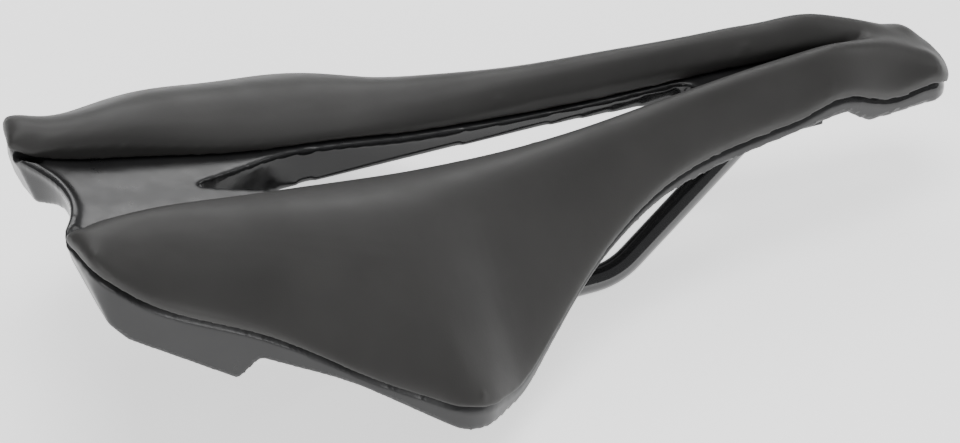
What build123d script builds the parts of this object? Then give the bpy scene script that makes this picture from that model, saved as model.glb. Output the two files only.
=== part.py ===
from build123d import *
import math
import os

# A short-nosed bicycle saddle with a relief slot, on one bent 7 mm rail wire.
# Frame: +X forward, +Y to the rider's left, +Z up, in millimetres. The origin is midway between
# the two rails, in the middle of their straight length, at the height of their axes.

# Overall sizes
saddle_length = 257.0
saddle_width = 147.0
rear_share = 0.423

# Rail wire
rail_diameter = 7.0
rail_spacing = 44.0
rail_straight_length = 70.0
rail_bend_length = 6.2
rail_rear_end_margin = 26.0
rail_rear_end_height = 33.0
rail_loop_along = 0.747
rail_loop_height = 26.5
rail_loop_mouth_share = 0.16
rail_loop_width_share = 0.126
rail_loop_length = 19.0
rail_loop_bend_share = 0.864
rail_loop_entry_radius = 15.0

# Base shell
shell_wall = 3.0
slot_wall = 2.5
slot_wall_bottom_height = 30.0
rear_wall_top = 54.0
rear_wall_height = 36.0
rear_wall_lean = 11.0
rear_arch_depth = 12.0
rear_arch_half_width = 27.0
rear_arch_foot = 35.5
rear_arch_top = 46.5
rear_arch_radius = 16.0
rear_arch_foot_radius = 3.0

# Deck cross-section, as shares of the edge's distance out and of the rise from edge to slot
section_reach = 1.3
deck_fall_past_edge = 0.55
deck_shoulder_across = 0.60
deck_shoulder_rise = 0.64
deck_level_across = 0.22

# Pad and cover
cover_thickness = 1.2
cover_overhang = 0.8
rear_edge_fullness = 4.1
nose_edge_fullness = 6.6
pad_fall_past_edge = 0.45
pad_flank_drop = 0.4

# Rail seats and their fasteners
seat_clearance = 0.1
sleeve_wall = 2.0
sleeve_length = 20.0
sleeve_end = 2.0
seat_ear_width = 5.8
seat_end_margin = 3.0
cap_thickness = 2.6
cap_gap = 0.3
clip_thickness = 2.0
clip_end_margin = 3.0

# Screws, self-tapping, driven upwards
screw_diameter = 3.0
screw_head_diameter = 5.4
screw_head_height = 1.8
screw_length = 11.0
screw_recess_width = 2.0
screw_recess_depth = 1.1
screw_hole_clearance = 0.2
thread_clearance = 0.05
pilot_extra_depth = 1.0
clip_screw_spacing = 9.0

# Derived sizes
half_width = saddle_width / 2
rear_overhang = rear_share * saddle_length
rail_radius = rail_diameter / 2
half_spacing = rail_spacing / 2
half_straight = rail_straight_length / 2
sleeve_radius = rail_radius + sleeve_wall
seat_width = 2 * (sleeve_radius + seat_ear_width)
loop_start = rail_loop_along * saddle_length - rear_overhang
loop_end = loop_start + rail_loop_length
loop_mouth_y = rail_loop_mouth_share * half_width
loop_y = rail_loop_width_share * half_width
loop_bend_radius = rail_loop_bend_share * loop_y
clip_face = rail_loop_height - rail_radius - clip_thickness
corner_x = half_straight + rail_bend_length
rail_end_x = -rear_overhang + rail_rear_end_margin
rail_end = Vector(rail_end_x, half_spacing, rail_rear_end_height)
rail_end_direction = (rail_end - Vector(-corner_x, half_spacing, 0)).normalized()
floor_height = -60.0
ceiling_height = 90.0


def length_position(along):
    return along * saddle_length - rear_overhang


def edge_fullness(along):
    """How far the pad stands above the shell at the saddle's edge."""
    return rear_edge_fullness + (nose_edge_fullness - rear_edge_fullness) * along


class Station:
    """One cross-section: where it is along the saddle, and how wide and high it is there.

    along is a share of the length, edge of the half width, and crest of the edge's distance from
    the centre line. The heights are in mm above the rails: of the shell at its edge and beside
    the slot, and of the pad on its centre line and its crest.
    """

    def __init__(self, along, edge, crest, edge_height, slot_height, middle_height, crest_height):
        self.x = length_position(along)
        self.edge_y = edge * half_width
        self.crest_y = crest * self.edge_y
        self.edge_height = edge_height
        self.shoulder_height = edge_height + edge_fullness(along)
        self.slot_height = slot_height
        self.middle_height = middle_height
        self.crest_height = crest_height


stations = [
    Station(-0.030, 0.440, 0.72, 51.5, 54.0, 51.0, 56.6),
    Station(0.040, 0.531, 0.64, 45.3, 51.0, 50.0, 56.8),
    Station(0.119, 0.663, 0.50, 37.2, 47.0, 48.0, 55.6),
    Station(0.217, 0.829, 0.43, 26.3, 42.8, 44.0, 52.0),
    Station(0.297, 0.961, 0.36, 17.0, 40.4, 41.5, 48.6),
    Station(0.356, 0.984, 0.32, 10.8, 38.4, 39.5, 46.2),
    Station(0.415, 0.824, 0.34, 7.0, 36.3, 38.0, 44.5),
    Station(0.465, 0.689, 0.38, 11.2, 35.3, 37.0, 43.7),
    Station(0.544, 0.490, 0.47, 19.8, 34.3, 37.0, 43.3),
    Station(0.613, 0.375, 0.54, 26.0, 34.5, 38.0, 43.8),
    Station(0.692, 0.297, 0.56, 28.8, 35.5, 39.5, 44.5),
    Station(0.762, 0.258, 0.55, 29.8, 36.2, 40.6, 45.0),
    Station(0.817, 0.233, 0.53, 31.4, 36.6, 41.0, 45.1),
    Station(0.864, 0.212, 0.51, 32.2, 36.2, 40.8, 44.6),
    Station(0.903, 0.200, 0.46, 27.6, 32.8, 40.4, 41.6),
    Station(0.945, 0.183, 0.42, 26.8, 30.8, 37.0, 37.2),
    Station(0.990, 0.166, 0.40, 24.0, 28.0, 31.6, 31.4),
    Station(1.035, 0.150, 0.40, 20.5, 24.5, 25.6, 25.4),
]


def plan_outline(corners):
    """Closed plan outline from the corners of its left half, from the rear to the front.

    Each corner is a share of the length along, a share of the half width across, and the radius
    that rounds it, which is a share of the half width as well.
    """
    left = [(length_position(along), across * half_width) for along, across, radius in corners]
    left_radii = [radius * half_width for along, across, radius in corners]
    right = [(x, -y) for x, y in reversed(left) if y > 0]
    right_radii = [left_radii[i] for i in reversed(range(len(left))) if left[i][1] > 0]
    return make_face(FilletPolyline(*left, *right, radius=left_radii + right_radii, close=True))


def saddle_outline():
    return plan_outline([
        (0.040, 0.000, 0.300),
        (-0.002, 0.250, 0.080),
        (0.010, 0.462, 0.120),
        (0.338, 1.035, 0.204),
        (0.598, 0.322, 1.770),
        (1.000, 0.158, 0.109),
    ])


def slot_outline():
    return plan_outline([
        (0.156, 0.000, 0.014),
        (0.267, 0.116, 0.540),
        (0.544, 0.102, 2.700),
        (0.712, 0.061, 0.054),
    ])


def pad_gap_outline():
    """The open middle between the two arms of the pad, from behind the saddle to the nose."""
    return plan_outline([
        (-0.060, 0.360, 0.000),
        (0.004, 0.270, 0.068),
        (0.020, 0.232, 0.068),
        (0.227, 0.143, 1.630),
        (0.553, 0.122, 2.700),
        (0.903, 0.004, 0.000),
    ])


def prism(face, bottom=floor_height):
    return Pos(0, 0, bottom) * extrude(face, amount=ceiling_height - bottom)


def side_prism(face):
    """Extrude a face drawn in the XZ plane right across the saddle."""
    return extrude(face, amount=saddle_width, both=True)


def below_surface(section_points):
    """Everything below a surface that passes through each station's points, left to centre."""
    faces = []
    for station in stations:
        left = section_points(station)
        right = [(-y, z) for y, z in reversed(left[:-1])]
        points = [(station.x, y, z) for y, z in left + right]
        reach = left[0][0]
        floor_corners = [(station.x, -reach, floor_height), (station.x, reach, floor_height)]
        sides = Polyline(points[-1], *floor_corners, points[0])
        faces.append(make_face([Spline(*points)] + sides.edges()))
    return loft(faces)


def shell_points(station):
    """The deck's section: level beside the slot, falling to the edge and on past it."""
    rise = station.slot_height - station.edge_height
    return [
        (section_reach * station.edge_y, station.edge_height - deck_fall_past_edge * rise),
        (station.edge_y, station.edge_height),
        (deck_shoulder_across * station.edge_y, station.edge_height + deck_shoulder_rise * rise),
        (deck_level_across * station.edge_y, station.slot_height),
        (0, station.slot_height),
    ]


def pad_points(station):
    """The pad's section: full at the edge, highest at the crest, lower on the centre line."""
    shoulder = station.shoulder_height
    drop = station.crest_height - shoulder
    return [
        (section_reach * station.edge_y, shoulder - pad_fall_past_edge * drop),
        (station.edge_y, shoulder),
        ((station.edge_y + station.crest_y) / 2, station.crest_height - pad_flank_drop * drop),
        (station.crest_y, station.crest_height),
        (0, station.middle_height),
    ]


def below_lower_edge():
    """Everything below the shell's lower edge in side view, which steps up behind the wings."""
    edge = [
        (-0.100, 37.5, 0.0),
        (0.016, 37.5, 0.0),
        (0.038, 31.5, 0.0),
        (0.130, 20.8, 0.0),
        (0.150, 27.5, 1.0),
        (0.228, 21.0, 60.0),
        (0.328, 6.0, 15.0),
        (0.415, 1.3, 15.0),
        (0.536, 17.5, 40.0),
        (0.621, 23.5, 60.0),
        (0.859, 27.6, 2.0),
        (0.890, 21.8, 3.0),
        (1.100, 19.5, 0.0),
        (1.100, floor_height - 1, 0.0),
        (-0.100, floor_height - 1, 0.0),
    ]
    points = [(length_position(along), z) for along, z, radius in edge]
    radii = [radius for along, z, radius in edge]
    return side_prism(make_face(Plane.XZ * FilletPolyline(*points, radius=radii, close=True)))


def behind_rear_wall(offset=0.0):
    """The wedge behind the rear wall, which leans forward towards its foot."""
    rear = length_position(0.0) + offset
    foot = rear_wall_top - rear_wall_height
    back = rear - 2 * rear_wall_height
    points = [
        (rear, rear_wall_top),
        (rear + rear_wall_lean, foot),
        (back, foot),
        (back, rear_wall_top),
    ]
    return side_prism(make_face(Plane.XZ * Polyline(*points, close=True)))


def rear_arch():
    """The opening under the middle of the rear wall, seen from behind."""
    points = [
        (rear_arch_half_width, floor_height),
        (rear_arch_half_width, rear_arch_foot),
        (0, rear_arch_top),
        (-rear_arch_half_width, rear_arch_foot),
        (-rear_arch_half_width, floor_height),
    ]
    radii = [0, rear_arch_foot_radius, rear_arch_radius, rear_arch_foot_radius, 0]
    plane = Plane(origin=(-rear_overhang - 1, 0, 0), x_dir=(0, 1, 0), z_dir=(1, 0, 0))
    arch = make_face(plane * FilletPolyline(*points, radius=radii, close=True))
    return extrude(arch, amount=rear_arch_depth + 1)


def rail_path():
    """One wire: left rear end, left rail, nose loop, right rail, right rear end."""
    left = [
        (rail_end.X, rail_end.Y, rail_end.Z),
        (-corner_x, half_spacing, 0),
        (corner_x, half_spacing, 0),
        (loop_start, loop_mouth_y, rail_loop_height),
        (loop_end, loop_y, rail_loop_height),
    ]
    right = [(x, -y, z) for x, y, z in reversed(left)]
    front_slant = math.hypot(loop_mouth_y - half_spacing, rail_loop_height)
    front_angle = math.atan2(front_slant, loop_start - corner_x)
    rear_angle = math.atan2(rail_rear_end_height, -corner_x - rail_end_x)
    rear_radius = rail_bend_length / math.tan(rear_angle / 2)
    front_radius = rail_bend_length / math.tan(front_angle / 2)
    radii = [rear_radius, front_radius, rail_loop_entry_radius, loop_bend_radius]
    return FilletPolyline(*left, *right, radius=radii + radii[::-1])


def rail_solid(radius):
    path = rail_path()
    section = Plane(origin=path @ 0, z_dir=path % 0) * Circle(radius)
    return sweep(section, path=path)


def screw():
    """Pan-head screw standing on the origin: head below, shank up along Z, hexagon recess."""
    head = Pos(0, 0, -screw_head_height / 2) * Cylinder(screw_head_diameter / 2, screw_head_height)
    head = fillet(head.edges().sort_by(Axis.Z)[0], screw_head_height / 3)
    shank = Pos(0, 0, screw_length / 2) * Cylinder(screw_diameter / 2, screw_length)
    shank = chamfer(shank.edges().sort_by(Axis.Z)[-1], screw_diameter / 4)
    hexagon = RegularPolygon(screw_recess_width / 2, 6, major_radius=False)
    recess = Pos(0, 0, -screw_head_height) * extrude(hexagon, amount=screw_recess_depth)
    return head + shank - recess


def hole(clearance, depth):
    return Pos(0, 0, depth / 2) * Cylinder(screw_diameter / 2 + clearance, depth)


def pilot_hole():
    return hole(thread_clearance, screw_length + pilot_extra_depth)


def socket_plane():
    """Frame of the left rear socket: at the rail's end, X out along the rail, Z up square to it."""
    across = Vector(0, 0, 1).cross(rail_end_direction)
    return Plane(origin=rail_end, x_dir=rail_end_direction, z_dir=rail_end_direction.cross(across))


def sleeve_blank(extra=0.0):
    """The left sleeve's outer shape in the socket frame, from its mouth to past the rail's end."""
    length = sleeve_length + sleeve_end + 2 * extra
    middle = (sleeve_end - sleeve_length) / 2
    return Pos(middle, 0, 0) * Rot(0, 90, 0) * Cylinder(sleeve_radius + extra, length)


def socket_screw_places():
    """Half way along the sleeve, one screw each side of it, in the socket frame."""
    across = sleeve_radius + seat_ear_width / 2
    along = -sleeve_length / 2
    return [(along, across), (along, -across)]


def socket_block(low, high, extra=0.0):
    length = sleeve_length + sleeve_end + seat_end_margin + 2 * extra
    middle = (sleeve_end + seat_end_margin - sleeve_length) / 2
    return Pos(middle, 0, (low + high) / 2) * Box(length, seat_width + 2 * extra, high - low)


def left_socket_pieces():
    """The seat block, the room cut for what it holds, then the sleeve, cap and screws."""
    frame = socket_plane().location
    cap_face = -sleeve_radius - cap_thickness
    seat = socket_block(0, ceiling_height / 2)
    cap = socket_block(cap_face, -cap_gap) - sleeve_blank(seat_clearance)
    cap_room = socket_block(cap_face - screw_head_height, 0, cap_gap)
    cut = sleeve_blank(seat_clearance) + cap_room
    screws = []
    for x, y in socket_screw_places():
        cut += Pos(x, y, cap_face) * pilot_hole()
        cap -= Pos(x, y, cap_face - 1) * hole(screw_hole_clearance, screw_length)
        screws.append(Pos(x, y, cap_face) * screw())
    pieces = [seat, cut, sleeve_blank(), cap, Compound(screws)]
    return [frame * piece for piece in pieces]


def clip_length():
    return rail_loop_length + rail_radius + 2 * clip_end_margin


def nose_block(width, low, high):
    middle = (loop_start + loop_end + rail_radius) / 2
    return Pos(middle, 0, (low + high) / 2) * Box(clip_length(), width, high - low)


def clip_screw_places():
    middle = (loop_start + loop_end) / 2 - rail_radius
    return [middle - clip_screw_spacing / 2, middle + clip_screw_spacing / 2]


def write(name, shape):
    shape.label = name
    export_step(shape, f"parts/{name}.step")


os.makedirs("parts", exist_ok=True)
under_shell_top = below_surface(shell_points)
under_pad_top = below_surface(pad_points)
rail = rail_solid(rail_radius)
rail_space = rail_solid(rail_radius + seat_clearance)

# Base shell: a deck with walls all round, a walled slot, and blocks that seat the rail
outline = saddle_outline()
shell_plan = offset(outline, -cover_overhang)
inside = prism(offset(shell_plan, -shell_wall)) - behind_rear_wall(shell_wall)
below_deck = Pos(0, 0, -shell_wall) * under_shell_top
shell = (prism(shell_plan) & under_shell_top) - behind_rear_wall() - (inside & below_deck)
shell = shell - below_lower_edge() - rear_arch()
slot = slot_outline()
slot_ring = prism(offset(slot, slot_wall), slot_wall_bottom_height) & under_shell_top
shell = shell + slot_ring - prism(slot)

socket_seat, socket_cut, left_sleeve, left_cap, left_cap_screws = left_socket_pieces()
socket_seat = socket_seat & inside & under_shell_top
shell = shell + socket_seat + mirror(socket_seat, about=Plane.XZ)
shell = shell - socket_cut - mirror(socket_cut, about=Plane.XZ)

nose_seat_width = 2 * loop_y + rail_diameter + shell_wall
nose_seat = nose_block(nose_seat_width, rail_loop_height, ceiling_height) & inside & under_shell_top
shell = shell + nose_seat - rail_space
clip = nose_block(2 * loop_y, clip_face, rail_loop_height - cap_gap) - rail_space
clip_screws = []
for x in clip_screw_places():
    shell -= Pos(x, 0, clip_face) * pilot_hole()
    clip -= Pos(x, 0, clip_face - 1) * hole(screw_hole_clearance, screw_length)
    clip_screws.append(Pos(x, 0, clip_face) * screw())

left_sleeve -= rail_space

# Foam pad and the cover over it
foam_plan = offset(outline, -cover_thickness) - offset(pad_gap_outline(), cover_thickness)
pad = (prism(outline - pad_gap_outline()) & under_pad_top) - under_shell_top
foam = (prism(foam_plan) & (Pos(0, 0, -cover_thickness) * under_pad_top)) - under_shell_top
cover = pad - foam

write("base_shell", shell)
write("foam_pad", foam)
write("cover", cover)
write("rail_wire", rail)
write("nose_clip", clip)
write("nose_clip_screws", Compound(clip_screws))
write("left_rail_sleeve", left_sleeve)
write("right_rail_sleeve", mirror(left_sleeve, about=Plane.XZ))
write("left_rail_cap", left_cap)
write("right_rail_cap", mirror(left_cap, about=Plane.XZ))
write("rail_cap_screws", Compound([left_cap_screws, mirror(left_cap_screws, about=Plane.XZ)]))
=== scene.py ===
import math

import bmesh
import bpy
import numpy as np
from mathutils import Matrix, Vector
from mathutils.bvhtree import BVHTree
from mathutils.kdtree import KDTree


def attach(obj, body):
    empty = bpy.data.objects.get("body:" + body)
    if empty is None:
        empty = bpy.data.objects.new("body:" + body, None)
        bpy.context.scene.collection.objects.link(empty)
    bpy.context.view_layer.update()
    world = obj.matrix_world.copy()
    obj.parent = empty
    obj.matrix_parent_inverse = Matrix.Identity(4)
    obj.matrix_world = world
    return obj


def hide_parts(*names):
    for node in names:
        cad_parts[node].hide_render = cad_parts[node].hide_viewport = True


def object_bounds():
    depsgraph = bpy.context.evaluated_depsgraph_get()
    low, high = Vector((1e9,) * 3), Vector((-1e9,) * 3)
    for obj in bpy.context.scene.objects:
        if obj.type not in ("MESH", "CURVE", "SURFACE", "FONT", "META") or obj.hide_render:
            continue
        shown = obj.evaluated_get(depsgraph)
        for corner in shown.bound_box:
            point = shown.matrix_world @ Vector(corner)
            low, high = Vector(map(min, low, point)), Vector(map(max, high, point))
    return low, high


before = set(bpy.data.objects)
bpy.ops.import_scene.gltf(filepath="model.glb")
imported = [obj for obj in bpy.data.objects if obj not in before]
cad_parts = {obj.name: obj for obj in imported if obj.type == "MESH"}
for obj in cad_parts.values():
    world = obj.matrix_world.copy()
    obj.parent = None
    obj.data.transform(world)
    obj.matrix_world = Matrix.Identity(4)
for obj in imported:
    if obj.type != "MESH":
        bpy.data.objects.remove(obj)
cad_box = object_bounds()

MM = 0.001
UP = Vector((0, 0, 1))
DOWN = Vector((0, 0, -1))
FORWARD = Vector((1, 0, 0))

# Camera: degrees, then metres, then millimetres of lens and sensor
CAMERA_AZIMUTH = 25.7
CAMERA_ELEVATION = 36.7
CAMERA_ROLL = 1.66
CAMERA_DISTANCE = 1.0
CAMERA_NEAREST = 0.01
CAMERA_TARGET = Vector((-0.0110, -0.0483, 0.0503))
CAMERA_LENS = 152.6
CAMERA_SENSOR = 36

FLOOR_HALF_SIZE = 3
FLOOR_GAP = 0.1 * MM

# Cover: how the pad's edges roll down to the shell
COVER_VOXEL = 0.75 * MM
REAR_ROLL = 6.5 * MM
WING_ROLL = 15.0 * MM
WAIST_ROLL = 8.0 * MM
REAR_ROLL_SHARE = 0.52
WING_ROLL_SHARE = 0.80
WAIST_ROLL_SHARE = 0.60
INNER_ROLL = 5.5 * MM
NOSE_INNER_ROLL = 3.5 * MM
INNER_ROLL_SHARE = 0.42
RIM_GAP = 0.3 * MM
RIM_GAP_REACH = 3.5 * MM
WALL_ZONE = 1.3 * MM
THINNEST_PAD = 0.9 * MM
COVER_SMOOTHING = 9

# Where along the saddle one roll gives way to the next, and over what length
REAR_ROLL_END = -92 * MM
WING_ROLL_END = 5 * MM
OUTER_ROLL_BLEND = 40 * MM
INNER_ROLL_END = 60 * MM
INNER_ROLL_BLEND = 50 * MM

# Telling the pad's walls from its top, and those round the open middle from the outer ones
UPRIGHT_SLOPE = 0.08
SHARED_FACE_REACH = 0.15 * MM
INNER_WALL_REAR = -104 * MM
INNER_WALL_FRONT = 130 * MM
INNER_WALL_ACROSS = 22.5 * MM
INNER_WALL_FACING = 0.3

# Measuring the pad by rays cast up and down through it
PLAN_STEP = 0.5 * MM
EDGE_SAMPLE_INSET = 0.4 * MM
LEAST_PAD_MEASURED = 0.5 * MM
RAY_START_MARGIN = 50 * MM
ABOVE_EVERYTHING = 100 * MM

# Shell: softened moulded edges, and the bead round the rear notch
SHELL_VOXEL = 0.6 * MM
SHELL_SMOOTHING = 16
COVER_OVERHANG = 0.8 * MM
REBATE_DROP = 1.7 * MM
REBATE_REACH = 2.8 * MM
REBATE_FADE = 4.5 * MM
BEAD_RADIUS = 1.3 * MM
BEAD_HALF_WIDTH = 21 * MM
BEAD_STEPS = 60
BEAD_SIDES = 10
BEAD_TAPER_STEPS = 8
BEAD_END_SHARE = 0.45
BEAD_INSET = 0.8 * MM
BEAD_SINK = 0.2 * MM
BEAD_WALL_PROBE_HEIGHT = 49 * MM
BEAD_DECK_PROBE_INSET = 1.5 * MM
BEAD_PROBE_START = 20 * MM
REBATE_SMOOTHING = 2

# Shell: where the slot's upright walls are polished
POLISH_FULL_ACROSS = 13.5 * MM
POLISH_END_ACROSS = 15.0 * MM
POLISH_FULL_SLOPE = 0.45
POLISH_END_SLOPE = 0.70
POLISH_ROUGHNESS_DROP = 0.20

# Small fittings
FITTING_VOXEL = 0.45 * MM
FITTING_SMOOTHING = 2

# Each smoothing round steps in, then part of the way back out
RELAX_IN = 0.5
RELAX_OUT = -0.34

# Points of a CAD mesh closer than this are one point
SAME_POINT = 0.001 * MM


# ---------------------------------------------------------------- camera and light

def make_camera():
    """Behind and above the rider's right side."""
    azimuth = math.radians(CAMERA_AZIMUTH)
    elevation = math.radians(CAMERA_ELEVATION)
    roll = math.radians(CAMERA_ROLL)
    back = Vector((
        -math.sin(azimuth) * math.cos(elevation),
        -math.cos(azimuth) * math.cos(elevation),
        math.sin(elevation),
    ))
    right = Vector((math.cos(azimuth), -math.sin(azimuth), 0))
    up = back.cross(right)
    rolled_right = right * math.cos(roll) + up * math.sin(roll)
    rolled_up = up * math.cos(roll) - right * math.sin(roll)
    data = bpy.data.cameras.new("camera")
    data.lens = CAMERA_LENS
    data.sensor_width = CAMERA_SENSOR
    data.clip_start = CAMERA_NEAREST
    camera = bpy.data.objects.new("camera", data)
    bpy.context.scene.collection.objects.link(camera)
    rotation = Matrix((rolled_right, rolled_up, back)).transposed()
    place = CAMERA_TARGET + back * CAMERA_DISTANCE
    camera.matrix_world = Matrix.Translation(place) @ rotation.to_4x4()
    bpy.context.scene.camera = camera


def area_light(name, place, size, power, target=(0, 0, 0.03)):
    data = bpy.data.lights.new(name, "AREA")
    data.shape = "RECTANGLE"
    data.size, data.size_y = size
    data.energy = power
    light = bpy.data.objects.new(name, data)
    bpy.context.scene.collection.objects.link(light)
    light.location = place
    direction = Vector(target) - Vector(place)
    light.rotation_euler = direction.to_track_quat("-Z", "Y").to_euler()


def make_lights():
    area_light("top_softbox", (0.05, 0.20, 1.25), (0.9, 0.6), 9)
    area_light("back_softbox", (0.50, 1.05, 0.90), (1.2, 0.5), 9)
    area_light("near_softbox", (-0.70, -1.15, 0.60), (1.0, 0.25), 8)
    area_light("nose_softbox", (1.2, -0.2, 0.7), (0.4, 0.8), 3)
    world = bpy.data.worlds.new("studio")
    world.use_nodes = True
    background = world.node_tree.nodes["Background"]
    background.inputs["Color"].default_value = (0.97, 0.98, 1.0, 1)
    background.inputs["Strength"].default_value = 0.30
    bpy.context.scene.world = world


# ---------------------------------------------------------------- materials

class Look:
    """A procedural material, built node by node round one principled shader."""

    def __init__(self, name, **sockets):
        self.material = bpy.data.materials.new(name)
        self.material.use_nodes = True
        self.tree = self.material.node_tree
        self.shader = self.tree.nodes["Principled BSDF"]
        for socket, value in sockets.items():
            self.shader.inputs[socket.replace("_", " ")].default_value = value
        self.coordinates = self.node("ShaderNodeTexCoord").outputs["Object"]

    def node(self, kind, **values):
        node = self.tree.nodes.new(kind)
        for key, value in values.items():
            if hasattr(node, key):
                setattr(node, key, value)
            else:
                node.inputs[key.replace("_", " ")].default_value = value
        return node

    def link(self, source, target):
        self.tree.links.new(source, target)

    def noise(self, scale, detail=3.0, roughness=0.5):
        node = self.node("ShaderNodeTexNoise", Scale=scale, Detail=detail, Roughness=roughness)
        self.link(self.coordinates, node.inputs["Vector"])
        return node.outputs["Fac"]

    def cells(self, scale):
        node = self.node("ShaderNodeTexVoronoi", Scale=scale)
        self.link(self.coordinates, node.inputs["Vector"])
        return node.outputs["Distance"]

    def spread(self, value, low, high, start=0.3, end=0.7):
        node = self.node("ShaderNodeMapRange", From_Min=start, From_Max=end, To_Min=low, To_Max=high)
        self.link(value, node.inputs["Value"])
        return node.outputs["Result"]

    def calculate(self, operation, first, second):
        node = self.node("ShaderNodeMath", operation=operation)
        for index, value in enumerate((first, second)):
            if isinstance(value, (int, float)):
                node.inputs[index].default_value = value
            else:
                self.link(value, node.inputs[index])
        return node.outputs[0]

    def mix_colours(self, factor, first, second):
        node = self.node("ShaderNodeMix", data_type="RGBA")
        self.link(factor, node.inputs["Factor"])
        node.inputs[6].default_value = (*first, 1)
        node.inputs[7].default_value = (*second, 1)
        self.link(node.outputs[2], self.shader.inputs["Base Color"])

    def bump(self, height, strength, distance, below=None):
        node = self.node("ShaderNodeBump", Strength=strength, Distance=distance)
        self.link(height, node.inputs["Height"])
        if below:
            self.link(below, node.inputs["Normal"])
        self.link(node.outputs["Normal"], self.shader.inputs["Normal"])
        return node.outputs["Normal"]

    def roughness(self, value):
        self.link(value, self.shader.inputs["Roughness"])


def cover_look():
    """Smooth matte synthetic leather: a fine pebbled grain, with faint scuffs."""
    look = Look("cover_skin", Specular_IOR_Level=0.36, Sheen_Weight=0.03, Sheen_Roughness=0.5)
    scuffs = look.noise(38, 4)
    look.mix_colours(look.spread(scuffs, 0, 1), (0.026, 0.0252, 0.0242), (0.034, 0.0330, 0.0316))
    look.roughness(look.spread(look.noise(85, 3), 0.46, 0.56))
    pores = look.cells(2300)
    creases = look.noise(1300, 2)
    grain = look.calculate("ADD", pores, creases)
    undulation = look.bump(look.noise(60, 2), 0.10, 0.4 * MM)
    look.bump(grain, 0.16, 0.05 * MM, undulation)
    return look.material


def shell_look():
    """Black moulded nylon: satin on the deck and rim, polished on the slot's upright walls."""
    look = Look("shell_plastic", Specular_IOR_Level=0.5)
    look.mix_colours(
        look.spread(look.noise(70, 3), 0, 1),
        (0.0105, 0.0105, 0.011),
        (0.0155, 0.0155, 0.016),
    )
    geometry = look.node("ShaderNodeNewGeometry")
    place = look.node("ShaderNodeSeparateXYZ")
    facing = look.node("ShaderNodeSeparateXYZ")
    look.link(geometry.outputs["Position"], place.inputs[0])
    look.link(geometry.outputs["Normal"], facing.inputs[0])
    side = look.calculate("ABSOLUTE", place.outputs["Y"], 0)
    near_slot = look.spread(side, 1, 0, POLISH_FULL_ACROSS, POLISH_END_ACROSS)
    upright = look.spread(facing.outputs["Z"], 1, 0, POLISH_FULL_SLOPE, POLISH_END_SLOPE)
    polished = look.calculate("MULTIPLY", near_slot, upright)
    satin = look.spread(look.noise(240, 4), 0.27, 0.36)
    gloss_drop = look.calculate("MULTIPLY", polished, POLISH_ROUGHNESS_DROP)
    look.roughness(look.calculate("SUBTRACT", satin, gloss_drop))
    look.bump(look.noise(900, 3), 0.06, 0.05 * MM)
    return look.material


def rail_look():
    """Glossy black lacquer over steel wire, with a faint orange peel and handling marks."""
    look = Look("rail_black", Specular_IOR_Level=0.6, Coat_Weight=0.9, Coat_Roughness=0.05)
    look.mix_colours(
        look.spread(look.noise(120, 2), 0, 1),
        (0.006, 0.006, 0.0065),
        (0.010, 0.010, 0.0105),
    )
    look.roughness(look.spread(look.noise(420, 4), 0.10, 0.20))
    look.bump(look.noise(700, 2), 0.05, 0.04 * MM)
    return look.material


def fitting_look():
    """Matte black moulded nylon with a fine spark-eroded texture."""
    look = Look("fitting_plastic", Specular_IOR_Level=0.45)
    look.mix_colours(
        look.spread(look.noise(90, 3), 0, 1),
        (0.016, 0.016, 0.017),
        (0.024, 0.024, 0.025),
    )
    look.roughness(look.spread(look.noise(300, 4), 0.48, 0.62))
    look.bump(look.noise(1600, 3), 0.25, 0.05 * MM)
    return look.material


def sleeve_look():
    """Dark grey acetal, slightly waxy."""
    look = Look("sleeve_plastic", Specular_IOR_Level=0.5, Subsurface_Weight=0.04)
    look.mix_colours(
        look.spread(look.noise(140, 3), 0, 1),
        (0.050, 0.050, 0.053),
        (0.068, 0.068, 0.071),
    )
    look.roughness(look.spread(look.noise(260, 3), 0.34, 0.45))
    look.bump(look.noise(1100, 2), 0.12, 0.04 * MM)
    return look.material


def screw_look():
    """Black zinc plate on steel, a little rubbed where a key has turned."""
    look = Look("screw_steel", Metallic=1.0, Anisotropic=0.3)
    look.mix_colours(
        look.spread(look.noise(600, 4), 0, 1, 0.4, 0.75),
        (0.075, 0.075, 0.08),
        (0.21, 0.21, 0.215),
    )
    look.roughness(look.spread(look.noise(800, 4), 0.28, 0.46))
    look.bump(look.noise(2200, 2), 0.10, 0.03 * MM)
    return look.material


def floor_look():
    """Pale paper, lit a little from within so that no hard shadow shows on it."""
    look = Look("floor_paper", Specular_IOR_Level=0.1, Emission_Strength=1.15)
    look.shader.inputs["Emission Color"].default_value = (1, 1, 1, 1)
    look.mix_colours(look.spread(look.noise(4, 2), 0, 1), (0.90, 0.90, 0.90), (0.93, 0.93, 0.93))
    look.roughness(look.spread(look.noise(30, 2), 0.8, 0.9))
    return look.material


# ---------------------------------------------------------------- mesh helpers

def row_mesh(node_name):
    """A copy of a CAD node's mesh in the row frame, for measuring and for building from."""
    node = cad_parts[node_name]
    shape = bmesh.new()
    shape.from_mesh(node.data)
    shape.transform(node.matrix_world)
    bmesh.ops.remove_doubles(shape, verts=shape.verts, dist=SAME_POINT)
    shape.normal_update()
    return shape


def new_object(name, shape):
    mesh = bpy.data.meshes.new(name)
    shape.to_mesh(mesh)
    shape.free()
    piece = bpy.data.objects.new(name, mesh)
    bpy.context.scene.collection.objects.link(piece)
    return piece


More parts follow.
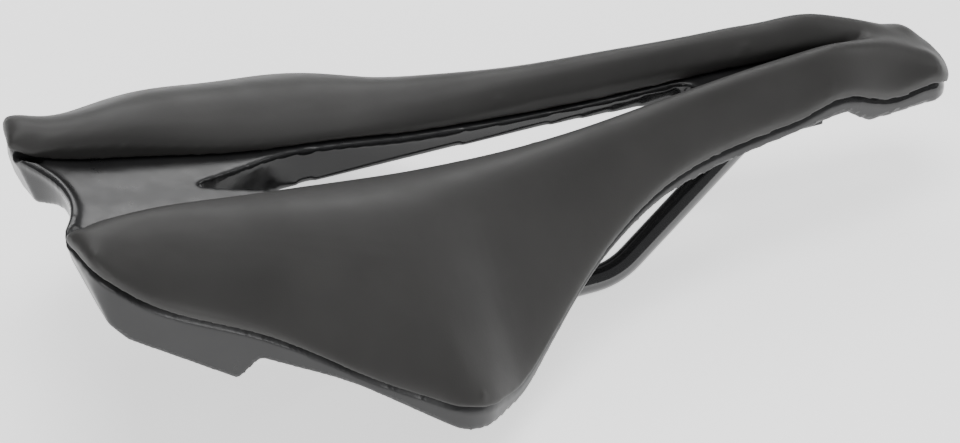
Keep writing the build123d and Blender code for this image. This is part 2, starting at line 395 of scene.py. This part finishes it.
def remeshed(name, shape, voxel):
    """The closed body that the faces bound, as one even mesh of small quads."""
    rough = new_object(name + "_rough", shape)
    modifier = rough.modifiers.new("even", "REMESH")
    modifier.mode = "VOXEL"
    modifier.voxel_size = voxel
    graph = bpy.context.evaluated_depsgraph_get()
    mesh = bpy.data.meshes.new_from_object(rough.evaluated_get(graph))
    mesh.name = name
    piece = bpy.data.objects.new(name, mesh)
    bpy.context.scene.collection.objects.link(piece)
    rough_mesh = rough.data
    bpy.data.objects.remove(rough)
    bpy.data.meshes.remove(rough_mesh)
    mesh.shade_smooth()
    return piece


def points_of(mesh):
    points = np.empty(len(mesh.vertices) * 3)
    mesh.vertices.foreach_get("co", points)
    return points.reshape(-1, 3)


def relax(mesh, points, rounds):
    """Moves every point half way to the mean of its neighbours, and half of that back out."""
    edges = np.empty(len(mesh.edges) * 2, dtype=np.int64)
    mesh.edges.foreach_get("vertices", edges)
    first, second = edges.reshape(-1, 2).T
    count = np.bincount(first, minlength=len(points)) + np.bincount(second, minlength=len(points))
    for turn in range(2 * rounds):
        total = np.zeros_like(points)
        np.add.at(total, first, points[second])
        np.add.at(total, second, points[first])
        step = RELAX_IN if turn % 2 == 0 else RELAX_OUT
        points = points + step * (total / count[:, None] - points)
    return points


def set_points(mesh, points):
    mesh.vertices.foreach_set("co", points.ravel())
    mesh.update()


def finish_piece(piece, material, slot_name, *nodes):
    piece.data.materials.clear()
    piece.data.materials.append(material)
    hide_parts(*nodes)
    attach(piece, "root")


def softened(name, node_name, voxel, rounds, extra=None):
    """A CAD solid with its sharp edges eased, as a moulding's are."""
    shape = row_mesh(node_name)
    if extra:
        extra(shape)
    piece = remeshed(name, shape, voxel)
    set_points(piece.data, relax(piece.data, points_of(piece.data), rounds))
    return piece


# ---------------------------------------------------------------- cover

def keep_apart_faces(shape, other):
    """Leaves only the faces that don't lie on the other solid."""
    tree = BVHTree.FromBMesh(other)
    shared = [
        face for face in shape.faces
        if tree.find_nearest(face.calc_center_median())[3] < SHARED_FACE_REACH
    ]
    bmesh.ops.delete(shape, geom=shared, context="FACES")


def pad_boundary():
    """The outside of cover and foam taken together."""
    cover = row_mesh("cover")
    foam = row_mesh("foam_pad")
    cover_whole = cover.copy()
    keep_apart_faces(cover, foam)
    keep_apart_faces(foam, cover_whole)
    mesh = bpy.data.meshes.new("foam_outside")
    foam.to_mesh(mesh)
    cover.from_mesh(mesh)
    bpy.data.meshes.remove(mesh)
    foam.free()
    cover_whole.free()
    cover.normal_update()
    return cover


def is_inner_wall(face):
    centre = face.calc_center_median()
    side = 1 if centre.y > 0 else -1
    return (
        INNER_WALL_REAR < centre.x < INNER_WALL_FRONT
        and abs(centre.y) < INNER_WALL_ACROSS
        and face.normal.y * side < INNER_WALL_FACING
    )


def plan_tree(faces):
    """Close-set points along the edges of upright faces, seen in plan, and the way in from each."""
    places = []
    for face in faces:
        inward = Vector((-face.normal.x, -face.normal.y, 0)).normalized()
        for edge in face.edges:
            start, end = (Vector((v.co.x, v.co.y, 0)) for v in edge.verts)
            steps = max(1, int((end - start).length / PLAN_STEP))
            places += [(start.lerp(end, step / steps), inward) for step in range(steps + 1)]
    tree = KDTree(len(places))
    for index, (place, inward) in enumerate(places):
        tree.insert(place, index)
    tree.balance()
    return tree, [inward for place, inward in places]


def smooth_step(value):
    value = min(max(value, 0), 1)
    return value * value * (3 - 2 * value)


def roll_factor(distance, radius, share):
    """Share of the full thickness left at a distance from the edge: a quarter ellipse."""
    inward = 1 - min(distance / radius, 1)
    return 1 - share * (1 - math.sqrt(1 - inward * inward))


def outer_roll(x):
    """Radius and share of the outer edge's roll: tight at the rear, broad round the wing."""
    past_rear = smooth_step((x - REAR_ROLL_END) / OUTER_ROLL_BLEND)
    past_wing = smooth_step((x - WING_ROLL_END) / OUTER_ROLL_BLEND)
    radius = REAR_ROLL + (WING_ROLL - REAR_ROLL) * past_rear + (WAIST_ROLL - WING_ROLL) * past_wing
    share = REAR_ROLL_SHARE + (WING_ROLL_SHARE - REAR_ROLL_SHARE) * past_rear
    share += (WAIST_ROLL_SHARE - WING_ROLL_SHARE) * past_wing
    return radius, share


def make_cover(material, boundary, inner, outer):
    inner_tree, inner_inward = inner
    outer_tree, outer_inward = outer
    surface = BVHTree.FromBMesh(boundary)
    piece = remeshed("saddle_cover", boundary, COVER_VOXEL)
    points = points_of(piece.data)
    low = cad_box[0][2] - RAY_START_MARGIN
    high = cad_box[1][2] + RAY_START_MARGIN
    for index, (x, y, z) in enumerate(points):
        flat = Vector((x, y, 0))
        inner_place, inner_index, inner_distance = inner_tree.find(flat)
        outer_place, outer_index, outer_distance = outer_tree.find(flat)
        nearest = min(inner_distance, outer_distance)
        sample = flat
        if nearest < EDGE_SAMPLE_INSET:
            is_inner = inner_distance < outer_distance
            place = inner_place if is_inner else outer_place
            inward = inner_inward[inner_index] if is_inner else outer_inward[outer_index]
            sample = place + inward * EDGE_SAMPLE_INSET
        top = surface.ray_cast(Vector((sample.x, sample.y, high)), DOWN)[0]
        bottom = surface.ray_cast(Vector((sample.x, sample.y, low)), UP)[0]
        if top is None or bottom is None or top.z - bottom.z < LEAST_PAD_MEASURED:
            continue
        share = min(max((z - bottom.z) / (top.z - bottom.z), 0), 1)
        if nearest > WALL_ZONE:
            share = round(share)
        to_nose = smooth_step((x - INNER_ROLL_END) / INNER_ROLL_BLEND)
        inner_radius = INNER_ROLL + (NOSE_INNER_ROLL - INNER_ROLL) * to_nose
        factor = roll_factor(inner_distance, inner_radius, INNER_ROLL_SHARE)
        factor *= roll_factor(outer_distance, *outer_roll(x))
        lift = RIM_GAP * (1 - smooth_step(nearest / RIM_GAP_REACH))
        thickness = max((top.z - bottom.z) * factor - lift, THINNEST_PAD)
        points[index, 2] = bottom.z + lift + share * thickness
    set_points(piece.data, relax(piece.data, points, COVER_SMOOTHING))
    finish_piece(piece, material, "cover_skin", "cover", "foam_pad")


# ---------------------------------------------------------------- shell

def add_notch_bead(shape):
    """A round bead along the deck's rear rim, between the two arms of the pad."""
    tree = BVHTree.FromBMesh(shape)
    path = []
    for step in range(BEAD_STEPS + 1):
        y = BEAD_HALF_WIDTH * (2 * step / BEAD_STEPS - 1)
        behind = Vector((cad_box[0][0] - BEAD_PROBE_START, y, BEAD_WALL_PROBE_HEIGHT))
        rear = tree.ray_cast(behind, FORWARD)[0]
        if rear is None:
            continue
        over_deck = Vector((rear.x + BEAD_DECK_PROBE_INSET, y, ABOVE_EVERYTHING))
        top = tree.ray_cast(over_deck, DOWN)[0]
        if top is not None:
            path.append(Vector((rear.x + BEAD_INSET, y, top.z - BEAD_SINK)))
    rings = []
    for index, place in enumerate(path):
        ahead = path[min(index + 1, len(path) - 1)] - path[max(index - 1, 0)]
        across = ahead.normalized().cross(UP).normalized()
        above = across.cross(ahead).normalized()
        from_end = smooth_step(min(index, len(path) - 1 - index) / BEAD_TAPER_STEPS)
        radius = BEAD_RADIUS * (BEAD_END_SHARE + (1 - BEAD_END_SHARE) * from_end)
        turns = [2 * math.pi * side / BEAD_SIDES for side in range(BEAD_SIDES)]
        rings.append([
            shape.verts.new(place + radius * (math.cos(turn) * across + math.sin(turn) * above))
            for turn in turns
        ])
    for first, second in zip(rings, rings[1:]):
        for side in range(BEAD_SIDES):
            following = (side + 1) % BEAD_SIDES
            shape.faces.new((first[side], first[following], second[following], second[side]))
    shape.faces.new(rings[0][::-1])
    shape.faces.new(rings[-1])
    bmesh.ops.recalc_face_normals(shape, faces=shape.faces)


def cut_rebate(piece, outer_tree):
    """Drops the shell's rim under the cover's edge, which leaves the dark line between them."""
    shape = row_mesh("base_shell")
    surface = BVHTree.FromBMesh(shape)
    shape.free()
    points = points_of(piece.data)
    for index, (x, y, z) in enumerate(points):
        inward = outer_tree.find(Vector((x, y, 0)))[2] - COVER_OVERHANG
        if inward > REBATE_REACH:
            continue
        top = surface.ray_cast(Vector((x, y, ABOVE_EVERYTHING)), DOWN)[0]
        if top is None:
            top = surface.find_nearest(Vector((x, y, z + 2 * MM)))[0]
        depth = max(top.z - z, 0)
        near_edge = 1 - smooth_step(inward / REBATE_REACH)
        near_top = 1 - smooth_step(depth / REBATE_FADE)
        points[index, 2] = z - REBATE_DROP * near_edge * near_top
    set_points(piece.data, relax(piece.data, points, REBATE_SMOOTHING))


def make_shell(material, outer_tree):
    piece = softened("shell_body", "base_shell", SHELL_VOXEL, SHELL_SMOOTHING, add_notch_bead)
    cut_rebate(piece, outer_tree)
    finish_piece(piece, material, "shell_plastic", "base_shell")


# ---------------------------------------------------------------- fittings

def make_fittings(material):
    for node_name in ("nose_clip", "left_rail_cap", "right_rail_cap"):
        piece = softened(node_name + "_moulding", node_name, FITTING_VOXEL, FITTING_SMOOTHING)
        finish_piece(piece, material, "fitting_plastic", node_name)


def paint(node_name, material):
    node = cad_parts[node_name]
    node.data.materials.clear()
    node.data.materials.append(material)


def make_floor(material):
    shape = bmesh.new()
    bmesh.ops.create_grid(shape, x_segments=2, y_segments=2, size=FLOOR_HALF_SIZE)
    floor = new_object("floor", shape)
    floor.data.materials.append(material)
    floor.location.z = cad_box[0][2] - FLOOR_GAP


make_camera()
make_lights()
make_floor(floor_look())
pad_outside = pad_boundary()
upright_faces = [face for face in pad_outside.faces if abs(face.normal.z) < UPRIGHT_SLOPE]
inner_edge = plan_tree([face for face in upright_faces if is_inner_wall(face)])
outer_edge = plan_tree([face for face in upright_faces if not is_inner_wall(face)])
make_cover(cover_look(), pad_outside, inner_edge, outer_edge)
make_shell(shell_look(), outer_edge[0])
make_fittings(fitting_look())
paint("rail_wire", rail_look())
sleeve_material = sleeve_look()
paint("left_rail_sleeve", sleeve_material)
paint("right_rail_sleeve", sleeve_material)
screw_material = screw_look()
paint("nose_clip_screws", screw_material)
paint("rail_cap_screws", screw_material)
